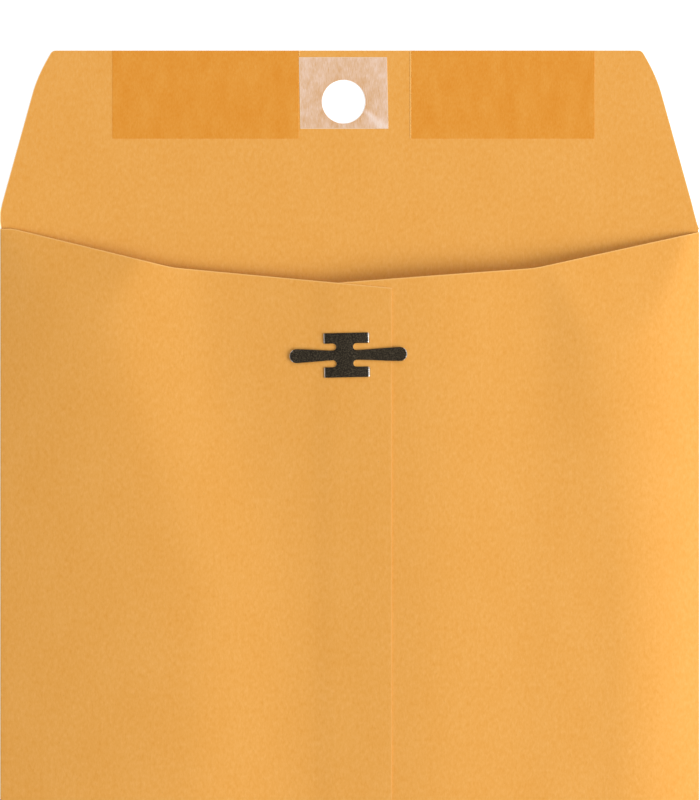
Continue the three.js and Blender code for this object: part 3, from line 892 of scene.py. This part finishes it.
def bottom_flap_paste():
    limit = fold_x - BOTTOM_FLAP_INSET - BOTTOM_FLAP_TAPER - BOTTOM_GLUE_MARGIN
    low = bottom_fold_y + BOTTOM_GLUE_MARGIN
    high = bottom_flap_top - BOTTOM_GLUE_MARGIN
    return paste_film(
        "bottom_flap_paste",
        steps(-limit, limit, BACK_COLUMN_STEP),
        steps(low, high, BOTTOM_PASTE_STEP),
        lambda x, y: back_level + PAPER + lift_over_both(x),
    )


# What lies on the flap

def gum_film(name, node, bead_side, bead_low_y):
    """A stripe of gum with a raised bead along its inner end, on the right (1) or the left (-1) of it."""
    low, high = box_of(node)
    inner = high.x if bead_side > 0 else low.x
    outer = low.x if bead_side > 0 else high.x
    across = steps(outer, inner, GUM_STEP)
    along = steps(low.y, high.y, GUM_STEP)
    film = formed_grid(
        name, across, along, lambda x, y: (x, y, PAPER + GUM_THICKNESS / 2), lambda x, y: (x, y)
    )
    thicken(film, GUM_THICKNESS)
    turns = [math.pi * i / BEAD_SEGMENTS for i in range(BEAD_SEGMENTS + 1)]
    middle = inner + bead_side * (GUM_BEAD_WIDTH / 2 + GUM_BEAD_GAP)
    bead = formed_grid(
        name + "_bead",
        turns,
        steps(bead_low_y, high.y, BEAD_STEP),
        lambda t, y: (
            middle + math.cos(t) * GUM_BEAD_WIDTH / 2,
            y,
            PAPER + GUM_THICKNESS / 2 + (GUM_BEAD_HEIGHT - GUM_THICKNESS) * math.sin(t),
        ),
        lambda t, y: (middle + t, y),
        # the whole bead gets the painted highlight
        lambda i, j: 1.0,
    )
    thicken(bead, GUM_THICKNESS)
    return join(film, [bead])


def patch_sheet():
    centre = Vector((HOLE_X, hole_y + PATCH_RAISE))
    turn = Matrix(((1, -PATCH_LEAN), (0, 1)))
    half = Vector((PATCH_WIDTH / 2, PATCH_HEIGHT / 2))
    hole = turn.inverted() @ (Vector((HOLE_X, hole_y)) - centre)
    start_angle = math.radians(CREASE_START_ANGLE)
    crease_start = hole + Vector((math.cos(start_angle), math.sin(start_angle))) * HOLE_RADIUS
    crease = Vector((half.x - CREASE_END_INSET, -half.y)) - crease_start
    across = [-half.x] + steps(-half.x + PATCH_BAND, half.x - PATCH_BAND, PATCH_STEP) + [half.x]
    along = [-half.y] + steps(-half.y + PATCH_BAND, half.y - PATCH_BAND, PATCH_STEP) + [half.y]

    def lifted(x, y):
        """The crease that runs from the hole to the lower right corner, wider towards the corner."""
        from_start = Vector((x, y)) - crease_start
        share = from_start.dot(crease) / crease.length_squared
        beside = abs(from_start.x * crease.y - from_start.y * crease.x) / crease.length
        width = mix(CREASE_NARROW, CREASE_WIDE, max(share, 0))
        return math.exp(-((beside / width) ** 2)) * smooth((share + CREASE_LEAD) / CREASE_FADE)

    def place(x, y):
        here = turn @ Vector((x, y)) + centre
        return here.x, here.y, PAPER + PATCH_THICKNESS / 2 + CREASE_LIFT * lifted(x, y)

    def flat(x, y):
        here = turn @ Vector((x, y)) + centre
        return here.x, here.y

    # Painted highlight round the patch's edge.
    def edge_highlit(i, j):
        return 1.0 if i in (0, len(across) - 1) or j in (0, len(along) - 1) else 0.0

    sheet = formed_grid("hole_patch_tissue", across, along, place, flat, edge_highlit)
    lift_values = sheet.data.attributes.new("lifted", "FLOAT", "POINT")
    soak_values = sheet.data.attributes.new("soaked", "FLOAT", "POINT")
    for index, vertex in enumerate(sheet.data.vertices):
        local = turn.inverted() @ (Vector((vertex.co.x, vertex.co.y)) / MM - centre)
        lift_values.data[index].value = lifted(local.x, local.y)
        from_rim = (local - hole).length - HOLE_RADIUS
        soak_values.data[index].value = math.exp(-from_rim / SOAK_REACH)
    thicken(sheet, PATCH_THICKNESS)
    return punch_hole(sheet)


# Clasp

# The clasp is drawn level, with the underside of the right back sheet at its middle as its zero,
# and is then tilted with the paper that it lies on.
plate_level = layer_step + PAPER + CLASP_SEAT_GAP
pocket_ceiling = back_level + crown(CLASP_X, clasp_y)
right_of_clasp = crown(CLASP_X + PLATE_WIDTH / 2, clasp_y)
left_of_clasp = crown(CLASP_X - PLATE_WIDTH / 2, clasp_y)
paper_slope = (right_of_clasp - left_of_clasp) / PLATE_WIDTH
arm_inner = PLATE_HEIGHT / 2 - ARM_HEIGHT
arm_middle = PLATE_HEIGHT / 2 - ARM_HEIGHT / 2
notch_radius = (arm_inner - PRONG_ROOT_WIDTH / 2) / 2
notch_y = arm_inner - notch_radius
clasp_place = (
    Matrix.Translation(Vector((CLASP_X, clasp_y, pocket_ceiling)) * MM)
    @ Matrix.Rotation(CLASP_TURN, 4, "Z")
    @ Matrix.Rotation(-math.atan(paper_slope), 4, "Y")
)
LEG_PLACES = [(-1, 1), (1, 1), (-1, -1), (1, -1)]


def bend_out(side):
    return side * WAIST_SHIFT + WAIST_WIDTH / 2 + notch_radius


def notch(x, y, start, end):
    """Points round a notch beside a prong's root, from one angle in degrees to another."""
    share = [i / NOTCH_SEGMENTS for i in range(NOTCH_SEGMENTS + 1)]
    angles = [math.radians(mix(start, end, s)) for s in share]
    return [(x + notch_radius * math.cos(a), y + notch_radius * math.sin(a)) for a in angles]


def plate_side(side):
    """One side of the plate's outline, anticlockwise, drawn for the right and turned for the left."""
    bend = bend_out(side)
    arm = PLATE_WIDTH / 2 - LEG_BEND_RADIUS - METAL / 2
    points = [(arm, -PLATE_HEIGHT / 2), (arm, -arm_inner)]
    points += notch(bend, -notch_y, 270, 90 + NOTCH_END)
    points += notch(bend, notch_y, 270 - NOTCH_END, 90)
    points += [(arm, arm_inner), (arm, PLATE_HEIGHT / 2)]
    return [(side * x, side * y) for x, y in points]


def glint_edge_metal(obj):
    """Lacquer all over, and bare tin on faces turned to the right or the left, as a painted highlight where
    they catch the lights; edges turned up or down keep the dark lacquer, as painted shade.
    """
    obj.data.materials.clear()
    obj.data.materials.append(LACQUER)
    obj.data.materials.append(TIN)
    for face in obj.data.polygons:
        # Painted highlight: tin only on faces turned to the side, which catch the lights.
        bare = face.normal.x > RIGHT_GLINT_TURN or face.normal.x < -LEFT_GLINT_TURN
        face.material_index = 1 if bare else 0
    return obj


def bevel_metal(obj):
    """Takes the sharpness off the edges of a piece of the clasp's metal."""
    return apply_modifier(
        obj,
        "BEVEL",
        width=METAL_BEVEL * MM,
        segments=BEVEL_SEGMENTS,
        limit_method="ANGLE",
        angle_limit=math.radians(BEVEL_ANGLE),
    )


def stamped(name, outline):
    """A flat blank of the clasp's metal: a filled circle primitive whose corners are set on the outline."""
    deselect_all()
    bpy.ops.mesh.primitive_circle_add(vertices=len(outline), radius=MM, fill_type="NGON")
    obj = named(bpy.context.object, name)
    for vertex, (x, y) in zip(obj.data.vertices, outline):
        vertex.co = (x * MM, y * MM, (plate_level + METAL / 2) * MM)
    thicken(obj, METAL)
    bevel_metal(obj)
    return glint_edge_metal(obj)


def leg(side, up):
    """A leg: over the arm's end, down through the paper and in under it."""
    top = plate_level + METAL / 2
    under = -CLASP_SEAT_GAP - METAL / 2
    bend_start = PLATE_WIDTH / 2 - METAL / 2 - LEG_BEND_RADIUS
    quarter = math.pi / 2
    turns = [quarter * i / LEG_BEND_SEGMENTS for i in range(LEG_BEND_SEGMENTS + 1)]
    path = [
        (bend_start + LEG_BEND_RADIUS * math.sin(t), top - LEG_BEND_RADIUS * (1 - math.cos(t)), t)
        for t in turns
    ]
    path += [
        (bend_start + LEG_BEND_RADIUS * math.cos(t), under + LEG_BEND_RADIUS * (1 - math.sin(t)), quarter)
        for t in turns
    ]
    path.append((PLATE_WIDTH / 2 - LEG_CLINCH, under, quarter))
    across = steps(-1, 1, LEG_COLUMN_SHARE)

    def place(share, point):
        x, z, turn = point
        half = mix(ARM_HEIGHT, LEG_WIDTH, smooth(turn / quarter)) / 2
        return side * x, up * arm_middle + share * half, z

    strip = formed_grid("clasp_leg", across, path, place, lambda share, point: (share, point[0]))
    thicken(strip, METAL)
    bevel_metal(strip)
    return glint_edge_metal(strip)


def clasp_plate():
    plate = stamped("clasp_plate_lacquered", plate_side(1) + plate_side(-1))
    join(plate, [leg(side, up) for side, up in LEG_PLACES])
    plate.data.transform(clasp_place)
    return plate


def clasp_prong(name, side, length):
    """A prong from its neck to its round tip, with close columns where it bends."""
    bend = bend_out(side)
    tip = PRONG_TIP_WIDTH / 2
    tip_centre = bend + length - tip
    neck = [bend - BEND_GAP + PRONG_NECK_STEP * i for i in range(PRONG_NECK_COLUMNS)]
    shank = steps(neck[-1], tip_centre, PRONG_SHANK_STEP)[1:]
    turns = [math.pi / 2 * i / PRONG_TIP_SEGMENTS for i in range(1, PRONG_TIP_SEGMENTS + 1)]
    across = neck + shank + [tip_centre + tip * math.sin(t) for t in turns]

    def half_at(x):
        if x >= tip_centre:
            return math.sqrt(max(tip ** 2 - (x - tip_centre) ** 2, TIP_LEAST_HALF ** 2))
        share = max(x - bend, 0) / (tip_centre - bend)
        widening = PRONG_EASE * smooth(share) + (1 - PRONG_EASE) * share
        return mix(PRONG_ROOT_WIDTH / 2, tip, widening)

    obj = formed_grid(
        name,
        across,
        [-1.0] + steps(-PRONG_OUTER_ROW, PRONG_OUTER_ROW, PRONG_ROW_SHARE) + [1.0],
        lambda x, share: (side * x, side * share * half_at(x), plate_level + METAL / 2),
        lambda x, share: (x, share),
    )
    thicken(obj, METAL)
    glint_edge_metal(obj)
    # Painted highlight: the tin rim round the right tip, which faces the light, is twice as wide as round
    # the left tip.
    rim = TIP_GLINT_RIM if side > 0 else TIP_GLINT_RIM / 2
    for face in obj.data.polygons:
        from_centre = Vector((face.center.x / MM - side * tip_centre, face.center.y / MM))
        if side * from_centre.x > tip * TIP_GLINT_REACH and from_centre.length > tip - rim:
            face.material_index = 1
    obj.data.transform(clasp_place)
    return obj


def slit(obj):
    """Cuts the four slits that the clasp's legs go through."""
    for side, up in LEG_PLACES:
        deselect_all()
        bpy.ops.mesh.primitive_cube_add(size=1)
        cutter = bpy.context.object
        size = Vector((METAL + 2 * SLIT_CLEARANCE, LEG_WIDTH + 2 * SLIT_CLEARANCE, SLIT_DEPTH)) * MM
        middle = Vector((side * (PLATE_WIDTH - METAL) / 2, up * arm_middle, PAPER)) * MM
        cutter.data.transform(clasp_place @ Matrix.Translation(middle) @ Matrix.Diagonal((*size, 1)))
        cut_away(obj, cutter)
    return obj


# Stage: camera, lights and floor

KEY_SHARE = 0.42  # of the light on the level paper
SIDE_SHARE = 0.1
FILL = 1 - KEY_SHARE - SIDE_SHARE
# Each light's azimuth is in degrees from the right towards the foot of the photograph.
KEY_AZIMUTH = 20
KEY_ELEVATION = 28
KEY_DISTANCE = 5.0  # metres
KEY_SIZE = 3.2
SIDE_AZIMUTH = -37
SIDE_ELEVATION = 30
SIDE_DISTANCE = 2.4
SIDE_SIZE = 1.2
FLOOR_DROP = 0.05
FLOOR_SIZE = 12  # metres
FLOOR_GLOW = 0.5  # how much the floor shines by itself, to the camera and in reflections
NEAR_CLIP = 0.01  # metres
FAR_CLIP = 50


def make_camera():
    data = bpy.data.cameras.new("camera")
    camera = bpy.data.objects.new("camera", data)
    bpy.context.scene.collection.objects.link(camera)
    middle_x = (PHOTO_WIDTH / 2 - MIDDLE_PIXEL_X) * MM_PER_PIXEL
    middle_y = score_y + (SCORE_PIXEL_Y - PHOTO_HEIGHT / 2) * MM_PER_PIXEL
    camera.location = Vector((middle_x, middle_y, CAMERA_HEIGHT)) * MM
    data.sensor_fit = "HORIZONTAL"
    data.sensor_width = SENSOR_WIDTH
    data.lens = SENSOR_WIDTH * CAMERA_HEIGHT / (PHOTO_WIDTH * MM_PER_PIXEL)
    data.clip_start = NEAR_CLIP
    data.clip_end = FAR_CLIP
    bpy.context.scene.camera = camera


def make_softbox(name, share, azimuth_degrees, elevation_degrees, distance, size):
    """A round softbox that gives the level paper its share of the light."""
    azimuth = math.radians(azimuth_degrees)
    elevation = math.radians(elevation_degrees)
    level = math.cos(elevation)
    toward = Vector((level * math.cos(azimuth), -level * math.sin(azimuth), math.sin(elevation)))
    data = bpy.data.lights.new(name, "AREA")
    data.shape = "DISK"
    data.size = size
    # A level sheet takes power * sin(elevation) / (pi * distance squared), and shows that over pi.
    data.energy = share * math.pi ** 2 * distance ** 2 / math.sin(elevation)
    box = bpy.data.objects.new(name, data)
    bpy.context.scene.collection.objects.link(box)
    box.location = toward * distance
    box.rotation_euler = toward.to_track_quat("Z", "Y").to_euler()


def seen_directly(tree):
    """1 for camera, glossy and transmission rays, and 0 for the light that falls on the object."""
    path = add_node(tree, "ShaderNodeLightPath").outputs
    shiny = add_node(
        tree,
        "ShaderNodeMath",
        {0: path["Is Glossy Ray"], 1: path["Is Transmission Ray"]},
        operation="MAXIMUM",
    )
    return add_node(
        tree,
        "ShaderNodeMath",
        {0: path["Is Camera Ray"], 1: shiny.outputs[0]},
        operation="MAXIMUM",
    ).outputs[0]


def make_world():
    world = bpy.data.worlds.new("studio")
    bpy.context.scene.world = world
    world.use_nodes = True
    tree = world.node_tree
    strength = add_node(
        tree, "ShaderNodeMapRange", {"Value": seen_directly(tree), "To Min": FILL, "To Max": 1.0}
    )
    background = tree.nodes["Background"]
    background.inputs["Color"].default_value = linear("#FFFFFF")
    tree.links.new(strength.outputs["Result"], background.inputs["Strength"])


def make_floor():
    deselect_all()
    bpy.ops.mesh.primitive_plane_add(size=FLOOR_SIZE, location=(0, 0, -FLOOR_DROP * MM))
    floor = named(bpy.context.object, "floor")
    material = bpy.data.materials.new("white_floor")
    material.use_nodes = True
    tree = material.node_tree
    tree.nodes.remove(tree.nodes["Principled BSDF"])
    matt = add_node(tree, "ShaderNodeBsdfDiffuse", {"Color": linear("#EBEBEB")})
    lift = add_node(
        tree, "ShaderNodeMapRange", {"Value": seen_directly(tree), "To Min": 0.0, "To Max": FLOOR_GLOW}
    )
    glow = add_node(tree, "ShaderNodeEmission", {"Strength": lift.outputs["Result"]})
    both = add_node(tree, "ShaderNodeAddShader", {0: matt.outputs[0], 1: glow.outputs[0]})
    tree.links.new(both.outputs[0], tree.nodes["Material Output"].inputs["Surface"])
    floor.data.materials.append(material)


bpy.context.scene.view_settings.view_transform = "Standard"
make_camera()
make_softbox("key_softbox", KEY_SHARE, KEY_AZIMUTH, KEY_ELEVATION, KEY_DISTANCE, KEY_SIZE)
make_softbox("side_softbox", SIDE_SHARE, SIDE_AZIMUTH, SIDE_ELEVATION, SIDE_DISTANCE, SIDE_SIZE)
make_world()
make_floor()

# The envelope

left_back = slit(back_sheet("left_back_sheet", -1, SEAM_EDGE_X, lift_over_right, left_mouth_y))
right_back = slit(back_sheet("right_back_sheet", 1, hidden_edge_x, no_lift, right_mouth_y))
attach(finish_piece(left_back, KRAFT, "kraft_paper", "left_back_panel"), "envelope")
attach(finish_piece(right_back, KRAFT, "kraft_paper", "right_back_panel"), "envelope")
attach(finish_piece(front_sheet(), KRAFT, "kraft_paper", "front_panel"), "envelope")
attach(finish_piece(bottom_flap_sheet(), KRAFT, "kraft_paper", "bottom_flap"), "envelope")
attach(finish_piece(seam_paste(), PASTE, "envelope_glue", "seam_glue"), "envelope")
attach(finish_piece(bottom_flap_paste(), PASTE, "envelope_glue", "bottom_flap_glue"), "envelope")

seal_flap = finish_piece(flap_sheet(), KRAFT, "kraft_paper", "seal_flap")
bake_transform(seal_flap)

left_bead_y = hole_y + PATCH_RAISE + PATCH_HEIGHT / 2 + LEFT_BEAD_CLEARANCE
right_bead_y = box_of("seal_gum_right")[0].y
left_gum = gum_film("left_gum_film", "seal_gum_left", 1, left_bead_y)
right_gum = gum_film("right_gum_film", "seal_gum_right", -1, right_bead_y)
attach(finish_piece(left_gum, GUM, "seal_gum", "seal_gum_left"), "flap")
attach(finish_piece(right_gum, GUM, "seal_gum", "seal_gum_right"), "flap")
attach(finish_piece(patch_sheet(), TISSUE, "patch_paper", "hole_patch"), "flap")

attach(finish_piece(clasp_plate(), LACQUER, "clasp_metal", "clasp_plate"), "envelope")
for side, name, length in ((-1, "left", LEFT_PRONG_LENGTH), (1, "right", RIGHT_PRONG_LENGTH)):
    prong = clasp_prong("clasp_prong_" + name + "_lacquered", side, length)
    finish_piece(prong, LACQUER, "clasp_metal", "clasp_prong_" + name)
    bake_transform(prong)
